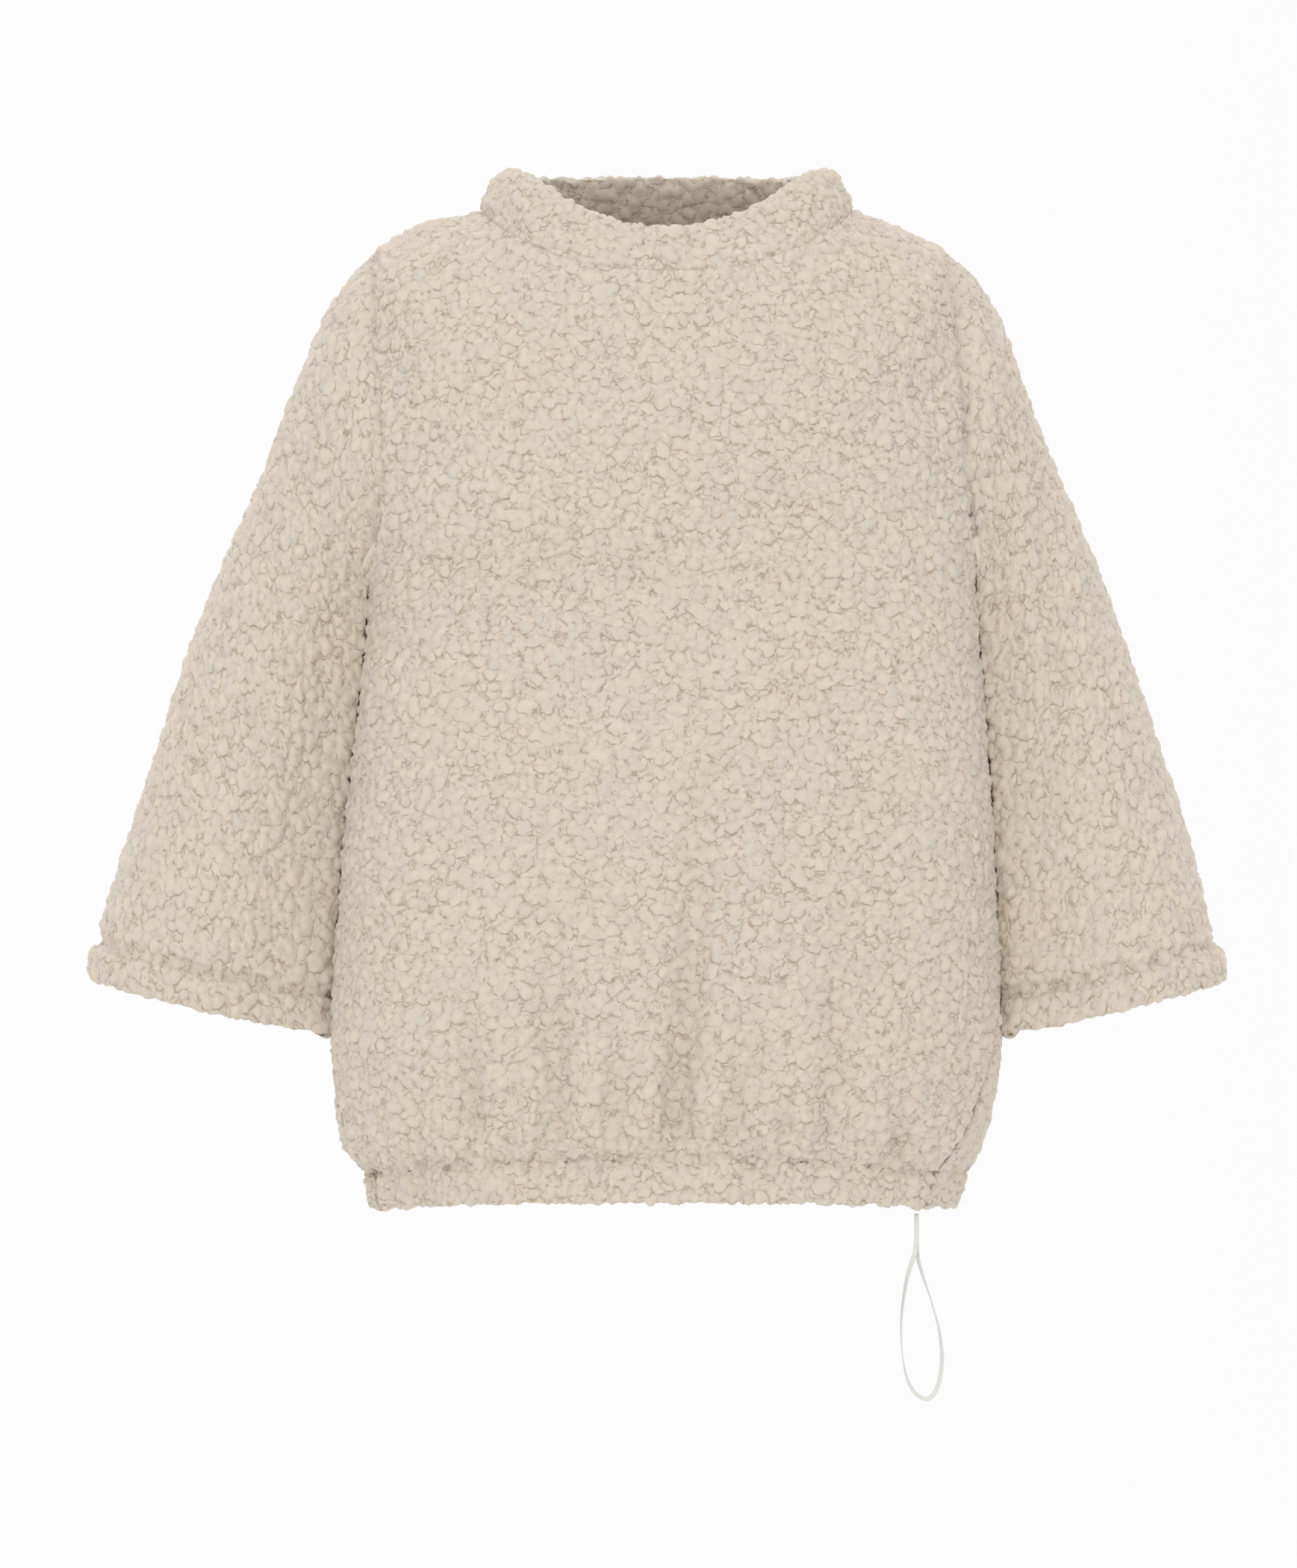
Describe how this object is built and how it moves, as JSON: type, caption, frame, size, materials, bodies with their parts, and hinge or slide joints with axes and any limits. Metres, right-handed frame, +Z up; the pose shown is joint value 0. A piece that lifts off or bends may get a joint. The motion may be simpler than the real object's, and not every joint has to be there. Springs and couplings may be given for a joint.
{
  "type": "sweater",
  "caption": "Boxy curl pile pullover, hollow and shaped as worn, with a funnel collar, wide three-quarter sleeves and a drawcord hem.",
  "frame": {"origin": "midway between the two points where the collar meets the shoulder seams, which is where the wearer holds the garment up", "axes": "+Z up out of the neck, +X towards the wearer's left, -Y towards the front"},
  "size_m": [0.767, 0.2648, 0.8203],
  "materials": {
    "pile_cloth": "matt cream curl pile, looped into lumps",
    "elastic_cord": "pale flat woven elastic"
  },
  "bodies": {
    "root": {"front": "pile_cloth", "back": "pile_cloth", "sleeve_left": "pile_cloth", "sleeve_right": "pile_cloth", "collar": "pile_cloth", "drawcord": "elastic_cord"}
  },
  "joints": []
}
